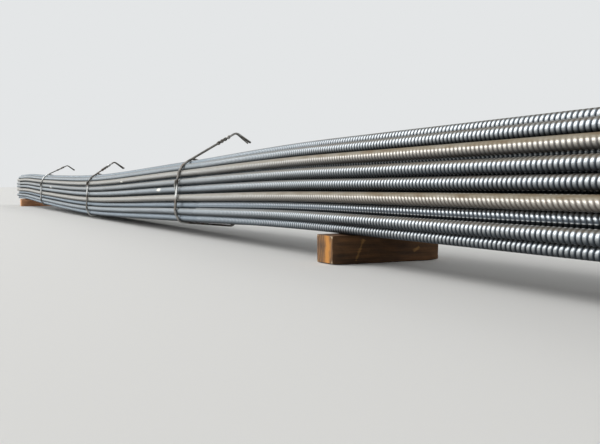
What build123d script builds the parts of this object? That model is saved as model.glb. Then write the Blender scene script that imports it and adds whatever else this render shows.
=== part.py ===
from build123d import *

import math
import os
import random

# A bundle of ribbed reinforcing bars, tied with doubled wire and lying on four sawn timber bearers.
# X runs along the bars, -Y is the side that the bundle is seen from, +Z is up, and Z = 0 is the floor.
# Sizes are in millimetres and angles in degrees.

# Bars
bar_length = 12000.0
bar_over_ribs = 22.7  # a 20 mm bar with its ribs, which keep the bars this far apart
bar_sides = 10  # few flats, because there are so many bars; the corners lie on the rib crests
bar_turn = 21.0  # where the first corner points, so that most neighbours meet corner to corner
bar_gap = 0.1  # free play between two neighbours
bar_count = 72
end_stagger = 24.0  # how far a bar may be pushed out of line at the ends, either way

# Bundle section, as wide and as high as it was drawn together, in bar pitches
section_width = 11.1
section_height = 8.6
section_roundness = 2.5  # 2 is an ellipse, more is squarer
row_rise = 0.87
rest_height = 0.5  # a bar's middle is half a pitch above what it lies on
# Bars that make up the front face, from the bottom up: depth behind the front one, and height
front_face = [
    (0.50, rest_height),
    (0.00, 1.37),
    (0.55, 2.22),
    (0.03, 3.22),
    (0.10, 4.37),
    (0.00, 5.42),
    (0.10, 6.57),
    (0.55, 7.47),
    (1.36, 8.08),
]
front_clearance = 0.8  # a bar that starts nearer than this to a front one is left out
neighbour_reach = 1.5  # two bars nearer than this are neighbours
open_side = 125.0  # a bar with this wide an angle and no neighbour in it is an outer one
settling_steps = 150
passes_in_step = 5
shift_to_front = 0.012  # pull at the back of the bundle in one step
shift_of_all = 0.0028  # pull on every bar in one step
shift_down = 0.008
shuffle = 20  # picks which bars stand out at the ends

# Bearers
bearer_width = 70.0
bearer_height = 57.7
bearer_length = 250.0
bearer_wane = 2.5  # worn long edges
bearer_proud = 13.0  # how far the bearers stand out in front of the front bars
bearer_x = {"left": -5600.0, "middle": -450.0, "right": 2400.0, "far_right": 5200.0}
rest_gap = 0.2

# The bundle hangs down in the longest span between two bearers, and is too stiff to in the others
deepest_sag = 45.0
sag_fullness = 1.5  # less is a fuller curve

# Ties
wire = 6.5
wire_sides = 6
wire_gap = 0.3  # between the wire and the bars
wrap_gap = 0.6  # between the two wraps of one tie
widest_corner = 45.0  # a wrap turns a sharper corner in two or more steps
tie_x = [-4510.0, -2930.0, -1470.0, 1470.0, 2930.0, 4510.0]
tie_turn = [2.5, 3.5, 5.0, 0.0, 0.0, 0.0]  # how far the tie has rolled the bundle over
pigtail_rise = [26.0, 34.0, 30.0, 25.0, 31.0, 22.0]
pigtail_straight = [66.0, 56.0, 104.0, 80.0, 62.0, 72.0]
twist_turns = 2
twist_pitch = 26.0
twist_steps = 4  # straight runs in one turn of the twist
twist_apart = 0.47  # of a wire, from the middle of the twist to the middle of each wire
tail_rise = 24.0
tail_length = 56.0
tail_dip = 35.0  # how steeply the tail points down
tail_spread = 9.0

bar_radius = bar_over_ribs / 2
pitch = bar_over_ribs + bar_gap
front_y = bearer_proud - bearer_length / 2
bearer_places = sorted(bearer_x.values())
longest_span = max(zip(bearer_places, bearer_places[1:]), key=lambda span: span[1] - span[0])
span_start, span_end = longest_span[0] + bearer_width / 2, longest_span[1] - bearer_width / 2


def push_apart(centres, held, passes):
    """Moves centres that are nearer than one pitch apart, and keeps the first few where they are."""
    for _ in range(passes):
        for i, a in enumerate(centres):
            for j, b in enumerate(centres[:i]):
                gap = math.dist(a, b)
                if gap >= 1:
                    continue
                share = 0 if i < held else 1 if j < held else 0.5
                other = 0 if j < held else 1 - share
                for axis in (0, 1):
                    step = (a[axis] - b[axis]) * (1 - gap) / gap
                    a[axis] += step * share
                    b[axis] -= step * other
        for centre in centres[held:]:
            centre[1] = max(centre[1], rest_height)


def bundle_section():
    """Centres of the bars as (depth behind the front line, height above the bearers)."""
    held = len(front_face)
    loose = []
    for row in range(math.ceil(section_height / row_rise)):
        height = rest_height + row * row_rise
        nearest = min(front_face, key=lambda place: abs(place[1] - height))
        loose += [[nearest[0] + 1 + column, height] for column in range(math.ceil(section_width))]
    loose = [
        place for place in loose if all(math.dist(place, front) > front_clearance for front in front_face)
    ]

    def out_from_middle(place):
        across = abs((place[0] + rest_height) / section_width * 2 - 1)
        up = abs(place[1] / section_height * 2 - 1)
        return across**section_roundness + up**section_roundness

    loose.sort(key=out_from_middle)
    centres = [list(place) for place in front_face] + loose[: bar_count - held]
    for _ in range(settling_steps):
        for centre in centres[held:]:
            centre[0] -= shift_to_front * centre[0] / section_width + shift_of_all
            centre[1] -= shift_down
        push_apart(centres, held, passes_in_step)
    push_apart(centres, held, 2 * settling_steps)
    closest = min(math.dist(a, b) for i, a in enumerate(centres) for b in centres[:i])
    scale = pitch / closest
    lowest = min(height for _, height in centres) * scale
    return [(depth * scale, height * scale - lowest) for depth, height in centres]


section = bundle_section()
middle_depth = sum(depth for depth, _ in section) / bar_count
middle_height = sum(height for _, height in section) / bar_count


def is_outer(centre):
    """True for a bar with a wide open side, where no neighbour touches it."""
    near = [other for other in section if 0 < math.dist(centre, other) < neighbour_reach * pitch]
    ways = sorted(math.atan2(other[1] - centre[1], other[0] - centre[0]) for other in near)
    turns = [after - before for before, after in zip(ways, ways[1:] + [ways[0] + 2 * math.pi])]
    return max(turns) > math.radians(open_side)


def sag(x):
    """How far the bars hang below the tops of the bearers."""
    part = (x - span_start) / (span_end - span_start)
    return deepest_sag * (4 * part * (1 - part)) ** sag_fullness if 0 < part < 1 else 0.0


def placed(centre, x, turn):
    """Where a bar of the section is at x, with the bundle rolled by turn about its middle."""
    out, up = centre[0] - middle_depth, centre[1] - middle_height
    roll = math.radians(turn)
    depth = middle_depth + out * math.cos(roll) + up * math.sin(roll)
    height = middle_height + up * math.cos(roll) - out * math.sin(roll)
    level = bearer_height + rest_gap + bar_radius - sag(x)
    return Vector(x, front_y + bar_radius + depth, level + height)


# The bars bend at the ends of the longest span and at the ties in it, and are straight from there on
half_length = bar_length / 2
rolled = {x: turn for x, turn in zip(tie_x, tie_turn) if span_start < x < span_end}
bends = sorted([span_start, span_end, *rolled])


def bar_route(centre, shift):
    bent = [placed(centre, x, rolled.get(x, 0.0)) for x in bends]
    first = placed(centre, -half_length, 0.0) + Vector(shift, 0, 0)
    last = placed(centre, half_length, 0.0) + Vector(shift, 0, 0)
    return [first, *bent, last]


random.seed(shuffle)
shifts = [random.uniform(-1, 1) for _ in range(bar_count)]
low, high = min(shifts), max(shifts)
shifts = [end_stagger * (2 * (shift - low) / (high - low) - 1) for shift in shifts]
routes = [bar_route(centre, shift) for centre, shift in zip(section, shifts)]
outer = [route for centre, route in zip(section, routes) if is_outer(centre)]
inner = [route for route in routes if route not in outer]


def ring_around(x):
    """Corners of a wire drawn round the bundle at x, from under the front, up the front and over."""
    turn = rolled.get(x, 0.0)
    centres = sorted((placed(centre, x, turn).Y, placed(centre, x, turn).Z) for centre in section)

    def half_hull(points):
        chain = []
        for point in points:
            while len(chain) > 1:
                (ay, az), (by, bz) = chain[-2:]
                if (by - ay) * (point[1] - az) - (bz - az) * (point[0] - ay) > 0:
                    break
                chain.pop()
            chain.append(point)
        return chain[:-1]

    hull = half_hull(centres) + half_hull(centres[::-1])
    hull.reverse()
    clear = bar_radius + wire_gap + wire / 2
    corners = []
    for before, here, after in zip(hull[-1:] + hull, hull, hull[1:] + hull[:1]):
        way_in = math.atan2(here[1] - before[1], here[0] - before[0])
        way_out = math.atan2(after[1] - here[1], after[0] - here[0])
        turned = (way_in - way_out) % (2 * math.pi)
        steps = max(1, math.ceil(math.degrees(turned) / widest_corner))
        for step in range(steps):
            outward = way_in + math.pi / 2 - turned * (step + 0.5) / steps
            reach = clear / math.cos(turned / steps / 2)
            corners.append((here[0] + reach * math.cos(outward), here[1] + reach * math.sin(outward)))
    return corners


def shoulder_of(corners, rise):
    """Where the wire's way up the front gets no steeper than rise, so that the pigtail leaves in line."""
    middle = (min(z for _, z in corners) + max(z for _, z in corners)) / 2
    steep = [
        end
        for start, end in zip(corners, corners[1:])
        if end[1] > middle and math.degrees(math.atan2(end[1] - start[1], end[0] - start[0])) > rise
    ]
    return steep[-1]


def bar(route):
    """One bar as flats between like sections at its bends."""
    profiles = []
    for place in route:
        with BuildSketch(Plane(origin=place, x_dir=(0, 1, 0), z_dir=(1, 0, 0))) as profile:
            RegularPolygon(radius=bar_radius, side_count=bar_sides, rotation=bar_turn)
        profiles.append(profile.sketch)
    return loft(profiles, ruled=True, mode=Mode.PRIVATE)


def wire_rod(points, close=False):
    """A wire along straight runs that are mitred where they meet."""
    with BuildLine() as run:
        Polyline(*points, close=close)
    with BuildSketch(Plane(origin=points[0], x_dir=(1, 0, 0), z_dir=points[1] - points[0])) as profile:
        RegularPolygon(radius=wire / 2, side_count=wire_sides, rotation=180 / wire_sides)
    return sweep(profile.sketch, path=run.wire(), transition=Transition.RIGHT, mode=Mode.PRIVATE)


def pigtail_route(start, side, rise, straight):
    """Route of one of the two wire ends: straight up from the ring, round its twin, and a bent tail."""
    along = Vector(0, math.cos(math.radians(rise)), math.sin(math.radians(rise)))
    across = Vector(side, 0, 0)
    over = along.cross(across)
    apart = wire * twist_apart
    dip = math.radians(tail_dip)
    tail = Vector(side * tail_spread, tail_length * math.cos(dip), -tail_length * math.sin(dip))
    points = [start + across * apart, start + along * straight + across * apart]
    for step in range(1, twist_turns * twist_steps + 1):
        angle = 2 * math.pi * step / twist_steps
        away = (across * math.cos(angle) + over * math.sin(angle)) * apart
        points.append(start + along * (straight + twist_pitch * step / twist_steps) + away)
    points.append(points[-1] + along * tail_rise)
    points.append(points[-1] + tail)
    return points


def export(part, name):
    part.label = name
    export_step(part, f"parts/{name}.step")


os.makedirs("parts", exist_ok=True)

for name, group in (("outer_bars", outer), ("inner_bars", inner)):
    with BuildPart() as bars:
        add([bar(route) for route in group])
    export(bars.part, name)

for number, (x, rise, straight) in enumerate(zip(tie_x, pigtail_rise, pigtail_straight), start=1):
    corners = ring_around(x)
    shoulder = Vector(x, *shoulder_of(corners, rise))
    with BuildPart() as tie:
        for side in (-1, 1):
            wrap_x = x + side * (wire + wrap_gap) / 2
            ring = [Vector(wrap_x, y, z) for y, z in corners]
            add(wire_rod([(ring[-1] + ring[0]) / 2, *ring], close=True))
            add(wire_rod(pigtail_route(shoulder, side, rise, straight)))
    export(tie.part, f"tie_{number}")

for name, x in bearer_x.items():
    with BuildPart() as bearer:
        with BuildSketch(Plane.XZ.offset(-bearer_length / 2)):
            with Locations((x, bearer_height / 2)):
                Rectangle(bearer_width, bearer_height)
        extrude(amount=bearer_length)
        chamfer(bearer.edges().filter_by(Axis.Y), length=bearer_wane)
    export(bearer.part, f"bearer_{name}")
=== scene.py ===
import math

import bmesh
import bpy
import numpy as np
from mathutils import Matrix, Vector, noise


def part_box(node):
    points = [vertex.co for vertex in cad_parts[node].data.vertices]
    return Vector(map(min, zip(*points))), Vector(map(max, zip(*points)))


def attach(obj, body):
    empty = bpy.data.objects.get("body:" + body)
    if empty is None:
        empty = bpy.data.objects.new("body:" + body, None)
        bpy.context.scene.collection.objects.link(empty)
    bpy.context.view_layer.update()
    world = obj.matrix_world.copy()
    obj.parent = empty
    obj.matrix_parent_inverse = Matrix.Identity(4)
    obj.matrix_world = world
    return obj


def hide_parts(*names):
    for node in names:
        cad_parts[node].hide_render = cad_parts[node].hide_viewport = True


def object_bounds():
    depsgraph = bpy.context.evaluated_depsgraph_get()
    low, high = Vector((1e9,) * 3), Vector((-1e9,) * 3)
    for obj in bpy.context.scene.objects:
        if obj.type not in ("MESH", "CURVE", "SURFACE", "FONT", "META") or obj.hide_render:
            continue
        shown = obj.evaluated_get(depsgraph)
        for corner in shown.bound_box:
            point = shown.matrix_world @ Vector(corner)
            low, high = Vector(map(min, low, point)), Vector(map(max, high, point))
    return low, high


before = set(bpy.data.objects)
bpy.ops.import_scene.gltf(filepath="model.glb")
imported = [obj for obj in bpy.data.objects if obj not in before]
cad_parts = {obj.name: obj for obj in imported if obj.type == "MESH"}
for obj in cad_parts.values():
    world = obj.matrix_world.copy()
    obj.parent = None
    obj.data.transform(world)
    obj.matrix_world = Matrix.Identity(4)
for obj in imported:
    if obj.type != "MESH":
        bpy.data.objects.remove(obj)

cad_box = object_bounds()

# Sizes in metres. X runs along the bars, -Y is the side that the camera sees, +Z is up.
MM = 0.001

# Bars: 20 mm ribbed reinforcing bar
CORE_RADIUS = 9.65 * MM
RIB_RADIUS = 11.3 * MM
RIB_PITCH = 10.0 * MM
RIB_LEAN = 3.0 * MM  # how far along the bar a rib runs on its way round one side
LEAN_STARTS = 100.0 * MM  # the ribs straighten up over this length at the ends
RIB_FULLNESS = 0.75  # less makes a rib wider and rounder and its groove narrower
RIB_FADE = (1.6, 0.7)  # how fast a cross rib rises from the rib along the bar: slope and fullness
SEAM_CREST = (0.2, 1.4)  # the two ribs that run along a bar, between and at the cross ribs; over 1 gets a near-white painted highlight
SEAM_EDGE = 9.0  # degrees from the middle of such a rib to its foot
SEAM_IN_SIGHT = 60.0  # such a rib gets columns of its own where it is this near the front
PLAIN_CREST = 0.3  # height of a bar that is modelled without ribs, as a share of a rib's
END_CREST = 0.4  # the same for its worn edge at the ends
CUT_CREST = 0.7  # how the material sees a cut end
END_RADIUS = 8.6 * MM  # the cut ends are rounded over a little
END_BEVEL = 1.6 * MM
END_STRETCH = 0.06  # ribs are modelled this far in from an end on every bar
DUST_FILL = (0.3, 0.8)  # how far thick dust fills the grooves all round and on the upper side
FRONT_ROWS = [0.0693, 0.089, 0.108, 0.131, 0.157, 0.181, 0.208, 0.228, 0.242]  # heights at the front face
ROW_REACH = 6.0 * MM
# From the bottom row up: dust, shade and rust from 0 to 1, where the rib along the bar is in degrees, and
# how far the ribs lean in millimetres. Shade makes a bar's scale paler and its painted underside shade
# lighter;
# the fourth row up, which stands forward, is made palest as painted light
FRONT_TONES = [
    (0.25, 0.20, 0.3, 80, -6),
    (0.50, 0.35, 0.2, 102, -1),
    (0.32, 0.40, 0.2, 197, -14),
    (1.00, 1.00, 0.6, 100, 13),
    (0.50, 0.30, 0.2, 84, -1),
    (0.65, 0.35, 0.4, 96, -2),
    (1.00, 0.62, 0.7, 78, 5),
    (0.50, 0.35, 0.3, 88, -2),
    (0.38, 0.30, 0.3, 95, -4),
]
# Lowest and highest dust, shade and rust of the other bars
OUTER_TONES = (0.2, 0, 0), (0.8, 0.6, 1)
HIDDEN_TONES = (0, 0, 0), (0.5, 0.6, 1)
PAINT_FLECKS_AND_GLINT = [  # place along the bundle, height, length and width
    (-1.706, 0.142, 0.055, 0.011),
    (-4.15, 0.149, 0.08, 0.014),
    # A painted glint, not paint
    (-2.27, 0.1725, 0.045, 0.006),
]
NEAR_X = 0.0  # the section is read here, where the camera is near
NEIGHBOUR_REACH = 34.0 * MM
OPEN_SIDE = 105.0  # a recessed bar with this wide a gap between its neighbours still shows
BARS_IN_A_PIECE = 7

# How finely the bars are divided: rings in each rib, and directions of the columns of faces, in degrees
# from the way that the bar faces out of the bundle
FINE_X = (-0.25, 0.27)  # the camera is nearest here
LESS_FINE_X = (-1.3, -0.25)
SEEN_BETWEEN_X = (-0.9, 0.27)  # hidden bars of the front half show between the front ones here
FINE_RINGS, LESS_FINE_RINGS, COARSE_RINGS = 6, 3, 2
PLAIN_RINGS = 12  # in a whole stretch without ribs
FINE_COLUMNS = (-110, -88, -66, -44, -22, 0, 22, 44, 66, 88, 110, 147, 180, 213)
COARSE_COLUMNS = (-95, -48, 0, 48, 95, 180)
COARSEST_COLUMNS = (-90, -30, 30, 90, 180)
END_COLUMNS = tuple(range(0, 360, 36))

# Ties: 6.5 mm wire
WIRE = 6.5 * MM
WIRE_GAP = 0.3 * MM
WIRE_SPREAD = 1.6 * MM  # the two wraps lie this far apart at most
CROSSING_HEIGHT = 0.164  # the two wraps cross at this height on the front, and once more opposite
CROSSING_REACH = 11.0 * MM
CROSSING_LIFT = 1.1 * WIRE  # one wrap is lifted over the other there
WRAP_STEP = 6.0 * MM
CORNER_STEP = 0.2  # radians that a wrap turns in one step at most
WIRE_SIDES = 8
TIES = [  # place along the bundle, rise of the pigtail in degrees, its straight length
    (-4.51, 26.0, 0.066),
    (-2.93, 34.0, 0.056),
    (-1.47, 30.0, 0.104),
    (1.47, 25.0, 0.080),
    (2.93, 31.0, 0.062),
    (4.51, 22.0, 0.072),
]
TWIST_TURNS = 2
TWIST_PITCH = 26.0 * MM
TWIST_STEPS = 12  # in one turn
TWIST_APART = 0.47 * WIRE
TAIL_RISE = 24.0 * MM
TAIL_LENGTH = 56.0 * MM
TAIL_DIP = math.radians(35.0)
TAIL_SPREAD = 9.0 * MM

# Bearers: hollows and splinters in their faces and wear of their long edges, as (how many in a metre, depth)
HOLLOWS = (45, 0.9 * MM)
SPLINTERS = (160, 0.4 * MM)
WEAR = (30, 2.6 * MM)
WORN_WITHIN = 1 / 14  # of the bearer's size, from an edge
SAWN_LOSS = 0.5 * MM  # so much less than the planned size all round
BEARER_CUTS = (10, 40, 9)  # divisions along X, Y and Z

# Floor and light
FLOOR_REACH = 500
AMBIENT = 0.4
PANEL_ANGLE = 36.0  # how wide each panel looks, in degrees
PANELS = [  # degrees left of the bundle's front, degrees up, strength
    ("high_panel", 40, 44, 1.2),
    ("front_panel", 2, 21, 0.77),
    ("left_panel", 38, 20, 0.77),
    ("far_left_panel", 72, 20, 0.77),
    ("back_panel", 205, 38, 0.45),
]

# Photograph: 600 x 444 pixels, horizon at row 187
PHOTO_WIDTH, PHOTO_HEIGHT = 600, 444
FOCAL_PIXELS = 780.0
HORIZON_ROW = 187.0
CAMERA_FROM_BUNDLE = 0.73
CAMERA_HEIGHT = 0.1515
CAMERA_X = 0.91
BARS_TO_VIEW_AXIS = 25.98  # degrees between the bars and the way the camera looks

rng = np.random.default_rng(7)


def linear(code):
    """An sRGB hex colour as linear RGBA."""
    channels = [int(code[i : i + 2], 16) / 255 for i in (1, 3, 5)]
    return [c / 12.92 if c <= 0.04045 else ((c + 0.055) / 1.055) ** 2.4 for c in channels] + [1.0]


# Meshes


def centre_lines(node):
    """Centre line of every bar in a CAD node, as points from the far end to the near one."""
    work = bmesh.new()
    work.from_mesh(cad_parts[node].data)
    bmesh.ops.remove_doubles(work, verts=work.verts, dist=0.02 * MM)
    unseen = set(work.verts)
    lines = []
    while unseen:
        front = [unseen.pop()]
        island = list(front)
        while front:
            for edge in front.pop().link_edges:
                for vert in edge.verts:
                    if vert in unseen:
                        unseen.remove(vert)
                        front.append(vert)
                        island.append(vert)
        rings = {}
        for vert in island:
            rings.setdefault(round(vert.co.x, 4), []).append(np.array(vert.co))
        lines.append(np.array([np.mean(rings[x], axis=0) for x in sorted(rings)]))
    work.free()
    return sorted(lines, key=lambda line: tuple(np.round(line[0], 5)))


def smooth_line(points):
    """A function that gives (y, z) at any x on a smooth line through the points of one bar."""
    x, yz = points[:, 0], points[:, 1:]
    slopes = np.zeros_like(yz)
    for i in range(2, len(points) - 2):
        slopes[i] = (yz[i + 1] - yz[i - 1]) / (x[i + 1] - x[i - 1])

    def at(where):
        where = np.atleast_1d(where)
        i = np.clip(np.searchsorted(x, where) - 1, 0, len(x) - 2)
        run = x[i + 1] - x[i]
        t = ((where - x[i]) / run)[..., None]
        run = run[..., None]
        return (
            (2 * t**3 - 3 * t**2 + 1) * yz[i]
            + (t**3 - 2 * t**2 + t) * run * slopes[i]
            + (3 * t**2 - 2 * t**3) * yz[i + 1]
            + (t**3 - t**2) * run * slopes[i + 1]
        )

    return at


def show(name, mesh, finish):
    """Puts a mesh in the scene as a piece with this finish."""
    piece = bpy.data.objects.new(name, mesh)
    bpy.context.scene.collection.objects.link(piece)
    piece.data.materials.append(finish)
    return piece


def mesh_from(name, verts, faces):
    """A smooth-shaded mesh."""
    mesh = bpy.data.meshes.new(name)
    mesh.from_pydata(verts, [], faces)
    mesh.polygons.foreach_set("use_smooth", [True] * len(mesh.polygons))
    mesh.update()
    return mesh


def mark(mesh, **values):
    """Keeps a number per point of the mesh for the material to read."""
    for name, numbers in values.items():
        layer = mesh.attributes.new(name, "FLOAT", "POINT")
        layer.data.foreach_set("value", np.asarray(numbers, np.float32))


def turn_between(a, b):
    """Angle between two directions, from 0 to pi."""
    return np.abs((a - b + math.pi) % (2 * math.pi) - math.pi)


def columns_round(outward, roll, steps, seam_shows):
    """Directions of a bar's columns of faces, with three more for each rib along it that shows."""
    columns = outward + np.radians(steps)
    if seam_shows:
        edge = math.radians(SEAM_EDGE)
        for seam in (roll, roll + math.pi):
            columns = columns[turn_between(columns, seam) > 1.6 * edge]
            columns = np.append(columns, [seam - edge, seam, seam + edge])
    return np.sort(columns % (2 * math.pi))


def bead(rings):
    """One rib in so many rings, as (share of the pitch, share of the height)."""
    return [(k / rings, math.sin(math.pi * k / rings) ** RIB_FULLNESS) for k in range(rings)]


def with_worn_edge(x, radius, crest, end, inward):
    """The rings of a stretch with two more that narrow to the cut end; inward is 1 or -1 along the bar."""
    for place, size in ((end + inward * END_BEVEL, CORE_RADIUS), (end, END_RADIUS)):
        where = 0 if inward > 0 else len(x)
        x = np.insert(x, where, place, axis=0)
        radius = np.insert(radius, where, size, axis=0)
        crest = np.insert(crest, where, END_CREST, axis=0)
    return x, radius, crest


class BarMesh:
    """Gathers the points and faces of one or more ribbed bars."""

    def __init__(self):
        self.verts, self.faces = [], []
        self.marks = {"crest": [], "top": [], "dust": [], "shade": [], "rust": []}
        self.count = 0

    def add_rings(self, at, x, radius, crest, columns, tone):
        """Adds rings of points and the faces between them, and gives the first and last ring."""
        rings, around = x.shape
        yz = at(x)
        y = yz[..., 0] + radius * np.cos(columns)
        z = yz[..., 1] + radius * np.sin(columns)
        self.verts += np.stack([x, y, z], axis=-1).reshape(-1, 3).tolist()
        self.marks["crest"].append(crest.ravel())
        self.marks["top"].append(np.broadcast_to(np.sin(columns), x.shape).ravel())
        for name, value in zip(("dust", "shade", "rust"), tone):
            self.marks[name].append(np.full(x.size, value))
        index = self.count + np.arange(x.size).reshape(rings, around)
        self.count += x.size
        near, far = index[:-1], index[1:]
        quads = np.stack([near, far, np.roll(far, -1, 1), np.roll(near, -1, 1)], axis=-1)
        self.faces += quads.reshape(-1, 4).tolist()
        return (index[0], columns), (index[-1], columns)

    def join(self, a, b):
        """Closes the strip between two rings with any number of columns."""
        (first, at_first), (second, at_second) = a, b
        i = j = 0
        while i < len(first) or j < len(second):
            next_i = at_first[i + 1] if i + 1 < len(first) else at_first[0] + 2 * math.pi
            next_j = at_second[j + 1] if j + 1 < len(second) else at_second[0] + 2 * math.pi
            here, there = int(first[i % len(first)]), int(second[j % len(second)])
            if j >= len(second) or (i < len(first) and next_i <= next_j):
                i += 1
                self.faces.append((here, there, int(first[i % len(first)])))
            else:
                j += 1
                self.faces.append((here, there, int(second[j % len(second)])))

    def bar(self, line, roll, lean, tone, outward, stretches, seam_shows=False):
        """Adds one bar from stretches of (start, end, rings in a rib or 0 for plain, column directions)."""
        at = smooth_line(line)
        ends = line[0, 0], line[-1, 0]
        last = None
        for number, (start, end, rings, steps) in enumerate(stretches):
            columns = columns_round(outward, roll, steps, seam_shows and len(steps) > len(COARSE_COLUMNS))
            angle = (columns - roll) % (2 * math.pi)
            seam = turn_between(2 * angle, 0) < math.radians(SEAM_EDGE)
            slope, fullness = RIB_FADE
            taper = np.clip(np.abs(np.sin(angle)) * slope, 0, 1) ** fullness
            if rings:
                slant = lean * (0.5 - np.abs(angle / math.pi - 1))
                first, final = (round(place / RIB_PITCH) for place in (start, end))
                share, height = np.array(bead(rings)).T
                x = (np.arange(first, final)[:, None] + share).ravel() * RIB_PITCH
                x = x[:, None]
                near_end = np.clip(np.minimum(x - ends[0], ends[1] - x) / LEAN_STARTS, 0, 1)
                x = x + slant * near_end
                height = np.tile(height, final - first)[:, None]
                low, high = SEAM_CREST
                crest = np.where(seam, low + (high - low) * height, height * taper)
            else:
                x = np.linspace(start, end, PLAIN_RINGS)[:, None] + 0 * angle
                crest = np.full(x.shape, PLAIN_CREST)
            settled = np.clip((np.sin(columns) - 0.25) / 0.35, 0, 1)
            round_about, above = DUST_FILL
            filled = tone[0] ** 3 * (round_about + (above - round_about) * settled)
            crest = np.maximum(crest, filled)
            radius = CORE_RADIUS + (RIB_RADIUS - CORE_RADIUS) * np.minimum(crest, 1)
            if number == 0:
                x, radius, crest = with_worn_edge(x, radius, crest, ends[0], 1)
            if number == len(stretches) - 1:
                x, radius, crest = with_worn_edge(x, radius, crest, ends[1], -1)
            here, there = self.add_rings(at, np.clip(x, *ends), radius, crest, columns, tone)
            if last is not None:
                self.join(last, here)
            else:
                self.cap(here[0], at, ends[0], tone, False)
            last = there
        self.cap(last[0], at, ends[1], tone, True)

    def cap(self, index, at, x, tone, is_near):
        """The cut end of a bar, with points of its own so that its edge stays sharp."""
        first = self.count
        yz = at(x)[0]
        self.verts += [self.verts[i] for i in index] + [[x, yz[0], yz[1]]]
        size = len(index) + 1
        self.marks["crest"].append(np.full(size, CUT_CREST))
        self.marks["top"].append(np.zeros(size))
        for name, value in zip(("dust", "shade", "rust"), tone):
            self.marks[name].append(np.full(size, value))
        self.count += size
        around, middle = [first + k for k in range(len(index))], first + len(index)
        for a, b in zip(around, around[1:] + around[:1]):
            self.faces.append((middle, a, b) if is_near else (middle, b, a))

    def piece(self, name, finish):
        """All that was gathered, as one piece."""
        mesh = mesh_from(name, self.verts, self.faces)
        mark(mesh, **{key: np.concatenate(parts) for key, parts in self.marks.items()})
        return show(name, mesh, finish)


# Materials


def add(tree, kind, links=None, **settings):
    """Adds a node with its settings; a link is a number, a colour, a node or one of its outputs."""
    node = tree.nodes.new("ShaderNode" + kind)
    for name, value in settings.items():
        setattr(node, name, value)
    for key, value in (links or {}).items():
        if isinstance(key, int):
            socket = node.inputs[key]
        else:
            socket = next(s for s in node.inputs if s.name == key and s.enabled)
        if isinstance(value, bpy.types.Node):
            value = next(s for s in value.outputs if s.enabled)
        if isinstance(value, bpy.types.NodeSocket):
            tree.links.new(value, socket)
        else:
            socket.default_value = value
    return node


def new_material(name):
    """An empty material and its node tree."""
    material = bpy.data.materials.new(name)
    material.use_nodes = True
    material.node_tree.nodes.clear()
    return material, material.node_tree


def per_mm(*sizes):
    """Scale along X, Y and Z for a pattern with patches of these sizes in millimetres."""
    return tuple(1 / (size * MM) for size in sizes)


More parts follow.
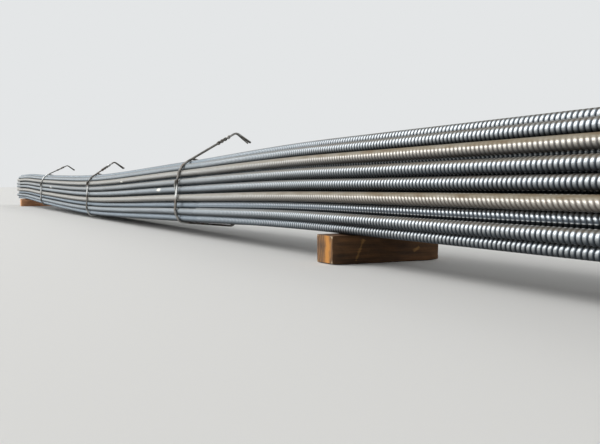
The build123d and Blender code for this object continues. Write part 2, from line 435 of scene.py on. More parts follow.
def hot_rolled_steel(name, flecks=()):
    """Hot-rolled ribbed bar: blue-grey mill scale, with painted shade near black in the grooves and
    underneath and a painted highlight on the ribs that face the light, yard dust on what faces up, and a
    paler, duller coat towards the ends, which at the far one is also a painted haze of distance."""
    material, tree = new_material(name)
    crest, top, dust, shade, rust = (
        add(tree, "Attribute", attribute_name=key).outputs["Fac"]
        for key in ("crest", "top", "dust", "shade", "rust")
    )
    place = add(tree, "TexCoord").outputs["Object"]
    along = add(tree, "SeparateXYZ", {0: place})
    # Mill scale in patches about 90 mm long and 12 mm across
    spread = add(tree, "Mapping", {"Vector": place, "Scale": per_mm(90, 12, 12)})
    patches = add(tree, "TexNoise", {"Vector": spread, "Scale": 1.0, "Detail": 4.0})
    patchy = add(tree, "MapRange", {"Value": patches, "From Min": 0.35, "From Max": 0.65})
    scale_blue = add(
        tree, "Mix", {"Factor": patchy, "A": linear("#2e353d"), "B": linear("#515b65")}, data_type="RGBA"
    )
    dusty = add(tree, "MapRange", {"Value": dust, "From Min": 0.65})
    shade_tone = add(
        tree, "Mix", {"Factor": dusty, "A": linear("#666f78"), "B": linear("#77716a")}, data_type="RGBA"
    )
    shaded = add(tree, "Mix", {"Factor": shade, "A": scale_blue, "B": shade_tone}, data_type="RGBA")
    # Painted highlight: the rib crests that face the light, a little above the middle of a bar, are painted
    # light, and the ribs along the bar near white
    on_crest = add(
        tree, "MapRange", {"Value": crest, "From Min": 0.45, "From Max": 0.95},
        interpolation_type="SMOOTHSTEP",
    )
    off_side = add(
        tree, "Math", {0: add(tree, "Math", {0: top, 1: 0.15}, operation="SUBTRACT")}, operation="ABSOLUTE"
    )
    facing = add(
        tree, "MapRange", {"Value": off_side, "From Min": 0.25, "From Max": 0.8, "To Min": 1.0, "To Max": 0.1}
    )
    seam_glint = add(tree, "MapRange", {"Value": crest, "From Min": 1.05, "From Max": 1.3})
    facing = add(tree, "Math", {0: facing, 1: seam_glint}, operation="MAXIMUM")
    painted_highlight = add(tree, "Math", {0: on_crest, 1: facing}, operation="MULTIPLY")
    highlight_tone = add(
        tree, "Mix", {"Factor": dusty, "A": linear("#a7abad"), "B": linear("#b5b1a9")}, data_type="RGBA"
    )
    highlighted = add(tree, "Mix", {"Factor": painted_highlight, "A": shaded, "B": highlight_tone}, data_type="RGBA")
    highlighted = add(tree, "Mix", {"Factor": seam_glint, "A": highlighted, "B": linear("#eef0f0")}, data_type="RGBA")
    # Painted shade: near black in the grooves, brown-grey where dust fills them
    in_groove = add(
        tree, "MapRange", {"Value": crest, "From Min": 0.0, "From Max": 0.8, "To Min": 1.0, "To Max": 0.0}
    )
    groove_shade_and_dust = add(
        tree, "Mix", {"Factor": dusty, "A": linear("#0e1012"), "B": linear("#57504a")}, data_type="RGBA"
    )
    grooved = add(tree, "Mix", {"Factor": in_groove, "A": highlighted, "B": groove_shade_and_dust}, data_type="RGBA")
    # Painted shade: darker towards the underside, less on pale bars and none on the ribs along the bar
    underside_shade = add(tree, "MapRange", {"Value": top, "From Min": -0.15, "From Max": -0.85, "To Max": 0.75})
    pale = add(tree, "MapRange", {"Value": shade, "From Min": 0.5, "To Min": 1.0, "To Max": 0.25})
    underside_shade = add(tree, "Math", {0: underside_shade, 1: pale}, operation="MULTIPLY")
    underside_shade = add(tree, "Math", {0: underside_shade, 1: seam_glint}, operation="SUBTRACT", use_clamp=True)
    shadowed = add(tree, "Mix", {"Factor": underside_shade, "A": grooved, "B": linear("#15191d")}, data_type="RGBA")
    # Rust in specks about 8 mm long
    specks = add(tree, "Mapping", {"Vector": place, "Scale": per_mm(8, 3, 3)})
    speckle = add(tree, "TexNoise", {"Vector": specks, "Scale": 1.0, "Detail": 6.0, "Roughness": 0.65})
    rust_edge = add(tree, "MapRange", {"Value": rust, "To Min": 0.74, "To Max": 0.6})
    rust_here = add(tree, "Math", {0: speckle, 1: rust_edge}, operation="GREATER_THAN")
    rust_share = add(tree, "Math", {0: rust_here, 1: 0.6}, operation="MULTIPLY")
    rusted = add(tree, "Mix", {"Factor": rust_share, "A": shadowed, "B": linear("#6b4a35")}, data_type="RGBA")
    # The sheared ends are bare of scale and have begun to rust
    facing_x = add(tree, "SeparateXYZ", {0: add(tree, "NewGeometry").outputs["Normal"]})
    end_on = add(tree, "Math", {0: facing_x}, operation="ABSOLUTE")
    off_cut = add(
        tree, "MapRange", {"Value": end_on, "From Min": 0.75, "From Max": 0.9, "To Min": 1.0, "To Max": 0.1}
    )
    rusting = add(tree, "MapRange", {"Value": speckle, "From Min": 0.4, "From Max": 0.62})
    cut_tone = add(
        tree, "Mix", {"Factor": rusting, "A": linear("#53575b"), "B": linear("#74543f")}, data_type="RGBA"
    )
    rusted = add(tree, "Mix", {"Factor": off_cut, "A": cut_tone, "B": rusted}, data_type="RGBA")
    # Pale coat of grime, thicker towards the ends and most at the far one, in streaks about 300 mm long; at
    # the far end it is also a painted haze of distance
    far_left = add(tree, "MapRange", {"Value": along, "From Min": -0.3, "From Max": -1.3, "To Max": 0.74})
    far_right = add(tree, "MapRange", {"Value": along, "From Min": 0.3, "From Max": 1.8, "To Max": 0.4})
    far = add(tree, "Math", {0: far_left, 1: far_right}, operation="MAXIMUM")
    long_spread = add(tree, "Mapping", {"Vector": place, "Scale": per_mm(300, 18, 18)})
    streaks = add(tree, "TexNoise", {"Vector": long_spread, "Scale": 1.0, "Detail": 3.0})
    streaky = add(
        tree, "MapRange", {"Value": streaks, "From Min": 0.3, "From Max": 0.7, "To Min": 0.55, "To Max": 1.0}
    )
    up_side = add(tree, "MapRange", {"Value": top, "From Min": -0.85, "From Max": 0.0, "To Min": 0.2})
    film_and_haze = add(tree, "Math", {0: far, 1: streaky}, operation="MULTIPLY")
    film_and_haze = add(tree, "Math", {0: film_and_haze, 1: up_side}, operation="MULTIPLY")
    film_and_haze = add(tree, "Math", {0: film_and_haze, 1: off_cut}, operation="MULTIPLY")
    soiled = add(tree, "MapRange", {"Value": dust, "From Min": 0.3, "From Max": 0.75})
    film_and_haze_tone = add(
        tree, "Mix", {"Factor": soiled, "A": linear("#99a8b4"), "B": linear("#a9acab")}, data_type="RGBA"
    )
    with_film_and_haze = add(tree, "Mix", {"Factor": film_and_haze, "A": rusted, "B": film_and_haze_tone}, data_type="RGBA")
    # Dust lies on the upper side, in drifts about 60 mm long, and fills the grooves there
    deep = add(tree, "Math", {0: dust, 1: 0.5, 2: top}, operation="MULTIPLY_ADD")
    settled = add(
        tree, "MapRange", {"Value": deep, "From Min": 0.68, "From Max": 0.98}, interpolation_type="SMOOTHSTEP"
    )
    drift_spread = add(tree, "Mapping", {"Vector": place, "Scale": per_mm(60, 9, 9)})
    drifts = add(tree, "TexNoise", {"Vector": drift_spread, "Scale": 1.0, "Detail": 5.0})
    drifting = add(
        tree, "MapRange", {"Value": drifts, "From Min": 0.35, "From Max": 0.6, "To Min": 0.6, "To Max": 1.0}
    )
    dust_share = add(tree, "Math", {0: settled, 1: drifting}, operation="MULTIPLY")
    dust_share = add(tree, "Math", {0: dust_share, 1: dust}, operation="MULTIPLY")
    dust_share = add(tree, "Math", {0: dust_share, 1: off_cut}, operation="MULTIPLY")
    dust_tone = add(tree, "MapRange", {"Value": drifts, "From Min": 0.45, "From Max": 0.7})
    dust_colour = add(
        tree, "Mix", {"Factor": dust_tone, "A": linear("#80755f"), "B": linear("#6f5e49")}, data_type="RGBA"
    )
    # Greyer towards the ends, most at the far one, where it is also a painted haze of distance
    dust_colour = add(
        tree, "Mix", {"Factor": far, "A": dust_colour, "B": linear("#a09f9a")}, data_type="RGBA"
    )
    colour = add(tree, "Mix", {"Factor": dust_share, "A": with_film_and_haze, "B": dust_colour}, data_type="RGBA")
    cover = add(tree, "Math", {0: film_and_haze, 1: dust_share}, operation="ADD", use_clamp=True)
    metal = add(tree, "MapRange", {"Value": cover, "From Max": 0.7, "To Min": 0.8, "To Max": 0.1})
    highlight_gloss = add(tree, "MapRange", {"Value": painted_highlight, "To Min": 0.46, "To Max": 0.3})
    # Grit about 1 mm across
    grit = add(tree, "TexNoise", {"Vector": place, "Scale": 1 / (1.1 * MM), "Detail": 3.0})
    dull = add(
        tree, "MapRange", {"Value": grit, "From Min": 0.3, "From Max": 0.7, "To Min": -0.05, "To Max": 0.1}
    )
    rough = add(tree, "MapRange", {"Value": cover, "From Max": 0.8, "To Max": 0.45})
    rough = add(tree, "Math", {0: rough, 1: add(tree, "Math", {0: highlight_gloss, 1: dull})})
    for x, height, length, width in flecks:
        # A fleck of white marking paint; the last in the list is a painted glint
        offset = add(tree, "VectorMath", {0: place, 1: (x, front_y, height)}, operation="SUBTRACT")
        shape = add(
            tree, "VectorMath", {0: offset, 1: (2 / length, 1 / (30 * MM), 2 / width)}, operation="MULTIPLY"
        )
        reach = add(tree, "VectorMath", {0: shape}, operation="LENGTH").outputs["Value"]
        ragged = add(tree, "Math", {0: reach, 1: speckle}, operation="ADD")
        painted = add(tree, "Math", {0: ragged, 1: 1.45}, operation="LESS_THAN")
        colour = add(tree, "Mix", {"Factor": painted, "A": colour, "B": linear("#e8e6de")}, data_type="RGBA")
        metal = add(tree, "Mix", {"Factor": painted, "A": metal.outputs[0], "B": 0.0})
    relief = add(tree, "Bump", {"Strength": 0.35, "Distance": 0.25 * MM, "Height": grit})
    shader = add(
        tree, "BsdfPrincipled",
        {"Base Color": colour, "Metallic": metal, "Roughness": rough, "Normal": relief},
    )
    add(tree, "OutputMaterial", {"Surface": shader})
    return material


def annealed_wire():
    """Black annealed tying wire: soft dark grey oxide, a little brown rust, bright in scrapes, and a painted
    glint on the front of each tie.
    """
    material, tree = new_material("annealed_black_wire")
    place = add(tree, "TexCoord").outputs["Object"]
    patches = add(tree, "TexNoise", {"Vector": place, "Scale": 1 / (11 * MM), "Detail": 5.0})
    patchy = add(tree, "MapRange", {"Value": patches, "From Min": 0.4, "From Max": 0.6})
    oxide = add(
        tree, "Mix", {"Factor": patchy, "A": linear("#55534f"), "B": linear("#7d7973")}, data_type="RGBA"
    )
    rust = add(tree, "TexNoise", {"Vector": place, "Scale": 1 / (24 * MM), "Detail": 3.0})
    rusting = add(tree, "MapRange", {"Value": rust, "From Min": 0.56, "From Max": 0.66, "To Max": 0.5})
    rusted = add(tree, "Mix", {"Factor": rusting, "A": oxide, "B": linear("#70503b")}, data_type="RGBA")
    # Scrapes about 60 mm long
    scrapes = add(tree, "TexNoise", {"Vector": place, "Scale": 1 / (60 * MM), "Detail": 2.0})
    scrape_and_glint = add(tree, "MapRange", {"Value": scrapes, "From Min": 0.54, "From Max": 0.68, "To Max": 0.8})
    # Painted glint on the front, a little below the height where the two turns cross
    parts = add(tree, "SeparateXYZ", {0: place})
    off_height = add(tree, "Math", {0: parts.outputs[2], 1: CROSSING_HEIGHT - 26 * MM}, operation="SUBTRACT")
    off_height = add(tree, "Math", {0: off_height}, operation="ABSOLUTE")
    near = add(tree, "MapRange", {"Value": off_height, "From Min": 26 * MM, "From Max": 12 * MM})
    in_front = add(tree, "Math", {0: parts.outputs[1], 1: -0.05}, operation="LESS_THAN")
    painted_glint = add(tree, "Math", {0: near, 1: in_front}, operation="MULTIPLY")
    scrape_and_glint = add(tree, "Math", {0: scrape_and_glint, 1: painted_glint}, operation="MAXIMUM")
    colour = add(tree, "Mix", {"Factor": scrape_and_glint, "A": rusted, "B": linear("#c9cac8")}, data_type="RGBA")
    metal = add(tree, "MapRange", {"Value": scrape_and_glint, "To Min": 0.4, "To Max": 0.9})
    rough = add(tree, "MapRange", {"Value": scrape_and_glint, "To Min": 0.5, "To Max": 0.27})
    relief = add(tree, "Bump", {"Strength": 0.4, "Distance": 0.3 * MM, "Height": patches})
    shader = add(
        tree, "BsdfPrincipled",
        {"Base Color": colour, "Metallic": metal, "Roughness": rough, "Normal": relief},
    )
    add(tree, "OutputMaterial", {"Surface": shader})
    return material


def sawn_softwood(name, side, end, streak, stain, scratches=()):
    """Rough-sawn softwood: soft grain along Y and torn fibres, with stained sides and amber cut ends."""
    material, tree = new_material(name)
    coordinates = add(tree, "TexCoord")
    place, within = coordinates.outputs["Object"], coordinates.outputs["Generated"]
    normal = add(tree, "SeparateXYZ", {0: add(tree, "NewGeometry").outputs["Normal"]}).outputs[1]
    on_end = add(
        tree, "MapRange",
        {"Value": add(tree, "Math", {0: normal}, operation="ABSOLUTE"), "From Min": 0.6, "From Max": 0.8},
    )
    # Grain lines 8 mm apart that run the length of the timber
    grain_spread = add(tree, "Mapping", {"Vector": place, "Scale": per_mm(8, 140, 8)})
    grain = add(tree, "TexNoise", {"Vector": grain_spread, "Scale": 1.0, "Detail": 6.0, "Roughness": 0.6})
    grained = add(tree, "MapRange", {"Value": grain, "From Min": 0.35, "From Max": 0.68})
    side_wood = add(
        tree, "Mix", {"Factor": grained, "A": linear(side[0]), "B": linear(side[1])}, data_type="RGBA"
    )
    # Growth rings about 9 mm apart on the cut ends
    ring_place = add(
        tree, "Mapping", {"Vector": place, "Scale": (1.0, 0.12, 1.0), "Location": (0.01, 0.0, 0.03)}
    )
    rings = add(
        tree, "TexWave",
        {
            "Vector": ring_place, "Scale": 1 / (30 * MM), "Distortion": 5.0,
            "Detail": 3.0, "Detail Scale": 1.5,
        },
        wave_type="RINGS", rings_direction="Y",
    ).outputs["Fac"]
    end_wood = add(tree, "Mix", {"Factor": rings, "A": linear(end[0]), "B": linear(end[1])}, data_type="RGBA")
    # Brighter sapwood in one band of the end, and pale crushed fibres on its corners
    wander = add(tree, "TexNoise", {"Vector": place, "Scale": 1 / (22 * MM), "Detail": 4.0})
    across = add(tree, "SeparateXYZ", {0: within}).outputs[0]
    wavy = add(tree, "Math", {0: wander, 1: 0.35, 2: across}, operation="MULTIPLY_ADD")
    in_band = add(tree, "MapRange", {"Value": wavy, "From Min": 0.62, "From Max": 0.8})
    past_band = add(tree, "MapRange", {"Value": wavy, "From Min": 1.04, "From Max": 0.92})
    band = add(tree, "Math", {0: in_band, 1: past_band}, operation="MULTIPLY")
    banded = add(tree, "Mix", {"Factor": band, "A": end_wood, "B": linear(streak)}, data_type="RGBA")
    wood = add(tree, "Mix", {"Factor": on_end, "A": side_wood, "B": banded}, data_type="RGBA")
    stain_spread = add(tree, "Mapping", {"Vector": place, "Scale": per_mm(30, 80, 30)})
    stains = add(tree, "TexNoise", {"Vector": stain_spread, "Scale": 1.0, "Detail": 5.0})
    staining = add(tree, "MapRange", {"Value": stains, "From Min": 0.48, "From Max": 0.7, "To Max": stain})
    stained = add(tree, "Mix", {"Factor": staining, "A": wood, "B": linear("#2a1e15")}, data_type="RGBA")
    middle = add(tree, "VectorMath", {0: within, 1: (0.5, 0.5, 0.5)}, operation="SUBTRACT")
    from_middle = add(tree, "SeparateXYZ", {0: add(tree, "VectorMath", {0: middle}, operation="ABSOLUTE")})
    corner = add(tree, "Math", {0: from_middle.outputs[0], 1: from_middle.outputs[2]})
    corner = add(tree, "Math", {0: wander, 1: 0.5, 2: corner}, operation="MULTIPLY_ADD")
    crushed = add(tree, "MapRange", {"Value": corner, "From Min": 1.06, "From Max": 1.16, "To Max": 0.8})
    crushed = add(tree, "Math", {0: crushed, 1: on_end}, operation="MULTIPLY")
    colour = add(tree, "Mix", {"Factor": crushed, "A": stained, "B": linear("#bfae92")}, data_type="RGBA")
    for y, height, length, lean in scratches:
        # A pale scratch through the stain on the side of the timber
        turned = add(
            tree, "Mapping", {"Vector": place, "Location": (0.0, y, height), "Rotation": (lean, 0.0, 0.0)},
            vector_type="TEXTURE",
        )
        parts = add(tree, "SeparateXYZ", {0: turned})
        wide = add(tree, "Math", {0: parts.outputs[1]}, operation="ABSOLUTE")
        long = add(tree, "Math", {0: parts.outputs[2]}, operation="ABSOLUTE")
        ragged = add(
            tree, "MapRange",
            {"Value": grain, "From Min": 0.35, "From Max": 0.65, "To Min": 1.0, "To Max": 6.0},
        )
        ragged = add(tree, "Math", {0: ragged, 1: MM}, operation="MULTIPLY")
        depth = add(tree, "Math", {0: wide, 1: ragged}, operation="DIVIDE")
        narrow = add(tree, "MapRange", {"Value": depth, "From Min": 1.2, "From Max": 0.0})
        inside = add(tree, "Math", {0: long, 1: length / 2}, operation="LESS_THAN")
        scratch = add(tree, "Math", {0: narrow, 1: inside}, operation="MULTIPLY")
        worn = add(
            tree, "MapRange",
            {"Value": grain, "From Min": 0.3, "From Max": 0.6, "To Min": 0.35, "To Max": 0.9},
        )
        scratch = add(tree, "Math", {0: scratch, 1: worn}, operation="MULTIPLY")
        colour = add(tree, "Mix", {"Factor": scratch, "A": colour, "B": linear("#a87f4a")}, data_type="RGBA")
    # Torn fibres 1.5 mm wide
    fibre_spread = add(tree, "Mapping", {"Vector": place, "Scale": per_mm(1.5, 25, 1.5)})
    fibres = add(tree, "TexNoise", {"Vector": fibre_spread, "Scale": 1.0, "Detail": 4.0})
    height = add(tree, "Math", {0: grain, 1: 0.6, 2: fibres}, operation="MULTIPLY_ADD")
    relief = add(tree, "Bump", {"Strength": 0.7, "Distance": 0.8 * MM, "Height": height})
    shader = add(
        tree, "BsdfPrincipled", {"Base Color": colour, "Roughness": 0.85, "IOR": 1.45, "Normal": relief}
    )
    add(tree, "OutputMaterial", {"Surface": shader})
    return material


# Bars

outer_lines = centre_lines("outer_bars")
lines = outer_lines + centre_lines("inner_bars")
places = [smooth_line(line)(NEAR_X)[0] for line in lines]
middle_y, middle_z = np.mean(places, axis=0)
front_y = min(y for y, _ in places) - RIB_RADIUS


def outward(i):
    """The way that a bar faces out of the bundle."""
    return math.atan2(places[i][1] - middle_z, places[i][0] - middle_y)


def open_side(i):
    """Widest angle round a bar with no neighbour in it."""
    offsets = [place - places[i] for place in places]
    ways = sorted(math.atan2(z, y) for y, z in offsets if 0 < math.hypot(y, z) < NEIGHBOUR_REACH)
    return max(b - a for a, b in zip(ways, ways[1:] + [ways[0] + 2 * math.pi]))


steel = hot_rolled_steel("hot_rolled_ribbed_bar", PAINT_FLECKS_AND_GLINT)

front_bars = []
for height in FRONT_ROWS:
    level = [i for i, (y, z) in enumerate(places) if abs(z - height) < ROW_REACH]
    front_bars.append(min(level, key=lambda i: places[i][0]))
other_bars, hidden_bars = [], []
for i, (y, z) in enumerate(places):
    recessed = z > middle_z and open_side(i) > math.radians(OPEN_SIDE)
    if i not in front_bars:
        (other_bars if i < len(outer_lines) or recessed else hidden_bars).append(i)
other_bars.sort(key=outward)


def stretches_of(line, is_front, is_hidden=False, seen_between=False):
    """How finely a bar is divided along its length, as stretches of (start, end, rings in a rib, columns)."""
    start, end = line[0, 0], line[-1, 0]
    inner_start, inner_end = start + END_STRETCH, end - END_STRETCH
    middle = [(inner_start, inner_end, COARSE_RINGS, COARSEST_COLUMNS)]
    if is_front:
        middle = [
            (inner_start, LESS_FINE_X[0], COARSE_RINGS, COARSE_COLUMNS),
            (*LESS_FINE_X, LESS_FINE_RINGS, FINE_COLUMNS),
            (*FINE_X, FINE_RINGS, FINE_COLUMNS),
            (FINE_X[1], inner_end, COARSE_RINGS, COARSEST_COLUMNS),
        ]
    elif seen_between:
        seen_from, seen_to = SEEN_BETWEEN_X
        middle = [
            (inner_start, seen_from - 2 * RIB_LEAN, 0, COARSE_COLUMNS),
            (seen_from, seen_to, COARSE_RINGS, COARSE_COLUMNS),
            (seen_to + 2 * RIB_LEAN, inner_end, 0, COARSE_COLUMNS),
        ]
    elif is_hidden:
        middle = [(inner_start, inner_end, 0, COARSE_COLUMNS)]
    end_rings = COARSE_RINGS if is_hidden else LESS_FINE_RINGS
    first = (start + 2 * END_BEVEL, inner_start, end_rings, END_COLUMNS)
    last = (inner_end, end - 3 * END_BEVEL, end_rings, END_COLUMNS)
    return [first, *middle, last]


bar_pieces = []
for row, (i, (dust, shade, rust, seam, lean)) in enumerate(zip(front_bars, FRONT_TONES), start=1):
    bars = BarMesh()
    roll = math.radians(seam)
    seam_shows = turn_between(roll, math.pi) < math.radians(SEAM_IN_SIGHT)
    stretches = stretches_of(lines[i], is_front=True)
    bars.bar(lines[i], roll, lean * MM, (dust, shade, rust), outward(i), stretches, seam_shows)
    bar_pieces.append(bars.piece(f"front_bar_{row}", steel))
for number in range(0, len(other_bars), BARS_IN_A_PIECE):
    bars = BarMesh()
    for i in other_bars[number : number + BARS_IN_A_PIECE]:
        roll, lean = rng.uniform(0, 2 * math.pi), RIB_LEAN * rng.uniform(-1, 1)
        tone = rng.uniform(*OUTER_TONES)
        bars.bar(lines[i], roll, lean, tone, outward(i), stretches_of(lines[i], is_front=False))
    bar_pieces.append(bars.piece(f"outer_bars_{number // BARS_IN_A_PIECE + 1}", steel))
bars = BarMesh()
for i in hidden_bars:
    roll, tone = rng.uniform(0, 2 * math.pi), rng.uniform(*HIDDEN_TONES)
    seen_between = places[i][0] < middle_y - NEIGHBOUR_REACH
    stretches = stretches_of(lines[i], is_front=False, is_hidden=True, seen_between=seen_between)
    bars.bar(lines[i], roll, RIB_LEAN, tone, math.pi, stretches)
bar_pieces.append(bars.piece("hidden_bars", steel))
for piece in bar_pieces:
    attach(piece, "root")
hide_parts("outer_bars", "inner_bars")

# Ties


def tube(name, paths, radius, finish):
    """Round wires along smooth paths, each closed or open, joined into one piece."""
    verts, faces = [], []
    for path, closed in paths:
        path = [Vector(p) for p in path]
        count = len(path)
        rings = []
        side = None
        for i, here in enumerate(path):
            before = path[i - 1] if closed or i else here
            after = path[(i + 1) % count] if closed or i < count - 1 else here
            ahead = (after - before).normalized()
            if side is None:
                side = ahead.cross(Vector((0.3, 0.5, 0.8))).normalized()
            side = (side - ahead * side.dot(ahead)).normalized()
            other = ahead.cross(side)
            first = len(verts)
            for k in range(WIRE_SIDES):
                angle = 2 * math.pi * k / WIRE_SIDES
                verts.append(here + (side * math.cos(angle) + other * math.sin(angle)) * radius)
            rings.append(list(range(first, first + WIRE_SIDES)))
        pairs = list(zip(rings, rings[1:]))
        if closed:
            pairs.append((rings[-1], rings[0]))
        for a, b in pairs:
            for j in range(WIRE_SIDES):
                k = (j + 1) % WIRE_SIDES
                faces.append((a[j], a[k], b[k], b[j]))
        if not closed:
            faces.append(tuple(rings[0][::-1]))
            faces.append(tuple(rings[-1]))
    return show(name, mesh_from(name, [tuple(v) for v in verts], faces), finish)


def hull_of(points):
    """Outer corners of a set of (y, z) points, going up the front and over the top."""

    def half(ordered):
        chain = []
        for p in ordered:
            while len(chain) > 1:
                a, b = chain[-2:]
                if (b[0] - a[0]) * (p[1] - a[1]) - (b[1] - a[1]) * (p[0] - a[0]) > 0:
                    break
                chain.pop()
            chain.append(p)
        return chain[:-1]

    ordered = sorted(points)
    hull = half(ordered) + half(ordered[::-1])
    return hull[::-1]


def wrap(x, side):
    """Smooth path of one turn of wire round the bars at x. The one on the + side lies over the other."""
    points = [tuple(smooth_line(line)(x)[0]) for line in outer_lines]
    hull = hull_of(points)
    reach = RIB_RADIUS + WIRE_GAP + WIRE / 2
    path = []
    for before, here, after in zip(hull[-1:] + hull, hull, hull[1:] + hull[:1]):
        way_in = math.atan2(here[1] - before[1], here[0] - before[0])
        way_out = math.atan2(after[1] - here[1], after[0] - here[0])
        turned = (way_in - way_out) % (2 * math.pi)
        steps = max(2, round(turned / CORNER_STEP))
        for step in range(steps + 1):
            angle = way_in + math.pi / 2 - turned * step / steps
            path.append(Vector((x, here[0] + reach * math.cos(angle), here[1] + reach * math.sin(angle))))
    evened = []
    for a, b in zip(path, path[1:] + path[:1]):
        steps = max(1, math.ceil((b - a).length / WRAP_STEP))
        evened += [a.lerp(b, k / steps) for k in range(steps)]
    count = len(evened)
    middle = sum(evened, Vector()) / count
    length = sum((b - a).length for a, b in zip(evened, evened[1:] + evened[:1]))
    front = [i for i, p in enumerate(evened) if p.y < middle.y]
    crossing = min(front, key=lambda i: abs(evened[i].z - CROSSING_HEIGHT))
    for i, p in enumerate(evened):
        from_crossing = math.sin(2 * math.pi * (i - crossing) / count) * length / (2 * math.pi)
        swap = math.tanh(from_crossing / CROSSING_REACH)
        if side > 0:
            p += (p - middle).normalized() * CROSSING_LIFT * (1 - swap**4)
            p.y = max(p.y, cad_box[0][1] + WIRE / 2)
        wave = (1 + math.sin(2 * math.pi * i / count + x * 5)) / 2
        p.x = x + side * swap * (WIRE / 2 + WIRE_GAP + WIRE_SPREAD * wave)
    return evened


def pigtail(start, side, rise, straight):
    """One end of the wire: straight up from the wrap, twice round its twin, then bent over and down."""
    along = Vector((0, math.cos(math.radians(rise)), math.sin(math.radians(rise))))
    across = Vector((side, 0, 0))
    over = along.cross(across)
    path = [start + across * TWIST_APART + along * (straight * k / 6) for k in range(7)]
    for step in range(1, TWIST_TURNS * TWIST_STEPS + 1):
        angle = 2 * math.pi * step / TWIST_STEPS
        away = (across * math.cos(angle) + over * math.sin(angle)) * TWIST_APART
        path.append(start + along * (straight + TWIST_PITCH * step / TWIST_STEPS) + away)
    top = path[-1] + along * TAIL_RISE
    drop = Vector((side * TAIL_SPREAD, TAIL_LENGTH * math.cos(TAIL_DIP), -TAIL_LENGTH * math.sin(TAIL_DIP)))
    # The tail is bent over in a small curve
    a, b = top - along * TAIL_RISE * 0.4, top + drop * 0.2
    path.append(a)
    for k in range(1, 5):
        t = k / 5
        path.append(a * (1 - t) ** 2 + top * 2 * t * (1 - t) + b * t**2)
    path.append(b)
    path.append(top + drop)
    return path


wire_finish = annealed_wire()
for number, (x, rise, straight) in enumerate(TIES, start=1):
    wraps = [wrap(x, side) for side in (-1, 1)]
    ring = wraps[0]
    mid_height = (min(p.z for p in ring) + max(p.z for p in ring)) / 2
    steep = [
        b for a, b in zip(ring, ring[1:])
        if b.z > mid_height and b.y > a.y and math.degrees(math.atan2(b.z - a.z, b.y - a.y)) > rise
    ]
    furthest = max(steep, key=lambda p: p.y)
    shoulder = Vector((x, furthest.y, furthest.z))
    paths = [(path, True) for path in wraps]
    paths += [(pigtail(shoulder, side, rise, straight), False) for side in (-1, 1)]
    tie = tube(f"tie_{number}_wire", paths, WIRE / 2, wire_finish)
    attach(tie, "root")
    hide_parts(f"tie_{number}")

# Bearers


def bearer(name, node, finish):
    """Rough-sawn timber: a finely divided block with worn edges, hollowed and rough on its faces."""
    low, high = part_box(node)
    size = high - low
    work = bmesh.new()
    bmesh.ops.create_cube(work, size=1.0)
    bmesh.ops.bevel(work, geom=list(work.edges), offset=0.02, segments=2, affect="EDGES", profile=0.6)
    for axis, cuts in enumerate(BEARER_CUTS):
        for i in range(1, cuts):
            place = [0, 0, 0]
            place[axis] = i / cuts - 0.5
            normal = [0, 0, 0]
            normal[axis] = 1
            geom = list(work.verts) + list(work.edges) + list(work.faces)
            bmesh.ops.bisect_plane(work, geom=geom, plane_co=place, plane_no=normal)
    middle = (low + high) / 2
    for vert in work.verts:
        p = Vector((vert.co.x * size.x, vert.co.y * size.y, vert.co.z * size.z)) + middle
        rough = sum(noise.noise(p * in_a_metre) * depth for in_a_metre, depth in (HOLLOWS, SPLINTERS))
        edge = sorted(0.5 - abs(c) for c in vert.co)
        wear = WEAR[1] * max(0, 1 - edge[1] / WORN_WITHIN) * (0.5 + noise.noise(p * WEAR[0]))
        inward = p - middle
        inward.y = 0
        if inward.length:
            p -= inward.normalized() * max(0.0, rough + SAWN_LOSS + wear)
        vert.co = p
    mesh = bpy.data.meshes.new(name)
    work.to_mesh(mesh)
    work.free()
    piece = show(name, mesh, finish)
    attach(piece, "root")
    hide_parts(node)


brown_timber = sawn_softwood(
    "sawn_softwood_brown",
    side=("#442f1d", "#785433"),
    end=("#5f4227", "#866038"),
    streak="#bd8038",
    stain=0.6,
    scratches=[(-0.065, 0.0275, 0.046, -0.40), (0.069, 0.025, 0.017, -0.85)],
)
orange_timber = sawn_softwood(
    "sawn_softwood_orange",
    side=("#c98a60", "#e8b48a"),
    end=("#d39262", "#ecb487"),
    streak="#edb983",
    stain=0.25,
)
bearer("bearer_left_sawn", "bearer_left", orange_timber)
bearer("bearer_middle_sawn", "bearer_middle", brown_timber)
bearer("bearer_right_sawn", "bearer_right", orange_timber)
bearer("bearer_far_right_sawn", "bearer_far_right", brown_timber)

# Floor, light and camera

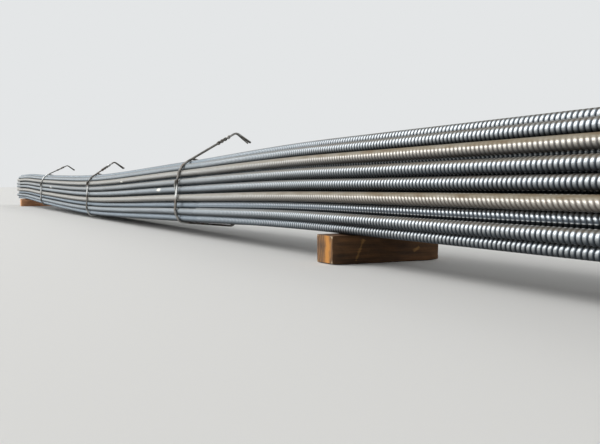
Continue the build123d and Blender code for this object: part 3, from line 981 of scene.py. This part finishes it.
floor_finish, tree = new_material("pale_floor")
shader = add(tree, "BsdfPrincipled", {"Base Color": linear("#dcdbd8"), "Roughness": 0.9})
add(tree, "OutputMaterial", {"Surface": shader})
corners = [(x * FLOOR_REACH, y * FLOOR_REACH, 0) for x, y in ((-1, -1), (1, -1), (1, 1), (-1, 1))]
show("floor", mesh_from("floor", corners, [(0, 1, 2, 3)]), floor_finish)

scene = bpy.context.scene
world = bpy.data.worlds.new("studio")
scene.world = world
world.use_nodes = True
tree = world.node_tree
tree.nodes.clear()
ray = add(tree, "LightPath").outputs
seen = add(tree, "Math", {0: ray["Is Camera Ray"], 1: ray["Is Glossy Ray"]}, operation="ADD")
seen = add(tree, "Math", {0: seen, 1: ray["Is Transmission Ray"]}, operation="ADD", use_clamp=True)
strength = add(tree, "MapRange", {"Value": seen, "To Min": AMBIENT, "To Max": 1.0})
backdrop = add(tree, "Background", {"Color": linear("#e4e6e7"), "Strength": strength})
add(tree, "OutputWorld", {"Surface": backdrop})


def soft_light(name, round_left, up, strength):
    """Even light from a wide panel far off, so many degrees left of the bundle's front and up."""
    lamp = bpy.data.lights.new(name, "SUN")
    lamp.energy, lamp.angle = strength, math.radians(PANEL_ANGLE)
    left, high = math.radians(round_left), math.radians(up)
    panel = Vector((-math.sin(left) * math.cos(high), -math.cos(left) * math.cos(high), math.sin(high)))
    holder = bpy.data.objects.new(name, lamp)
    holder.rotation_euler = (-panel).to_track_quat("-Z", "Y").to_euler()
    scene.collection.objects.link(holder)


for panel in PANELS:
    soft_light(*panel)

camera = bpy.data.objects.new("camera", bpy.data.cameras.new("camera"))
camera.data.sensor_width = 36.0
camera.data.lens = 36.0 * FOCAL_PIXELS / PHOTO_WIDTH
camera.data.clip_start = 0.01
camera.data.clip_end = 2 * FLOOR_REACH
down = math.atan((PHOTO_HEIGHT / 2 - HORIZON_ROW) / FOCAL_PIXELS)
turn = math.radians(BARS_TO_VIEW_AXIS)
look = Vector((-math.cos(turn) * math.cos(down), math.sin(turn) * math.cos(down), -math.sin(down)))
camera.location = (CAMERA_X, front_y - CAMERA_FROM_BUNDLE, CAMERA_HEIGHT)
camera.rotation_euler = look.to_track_quat("-Z", "Y").to_euler()
scene.collection.objects.link(camera)
scene.camera = camera
scene.view_settings.view_transform = "Standard"
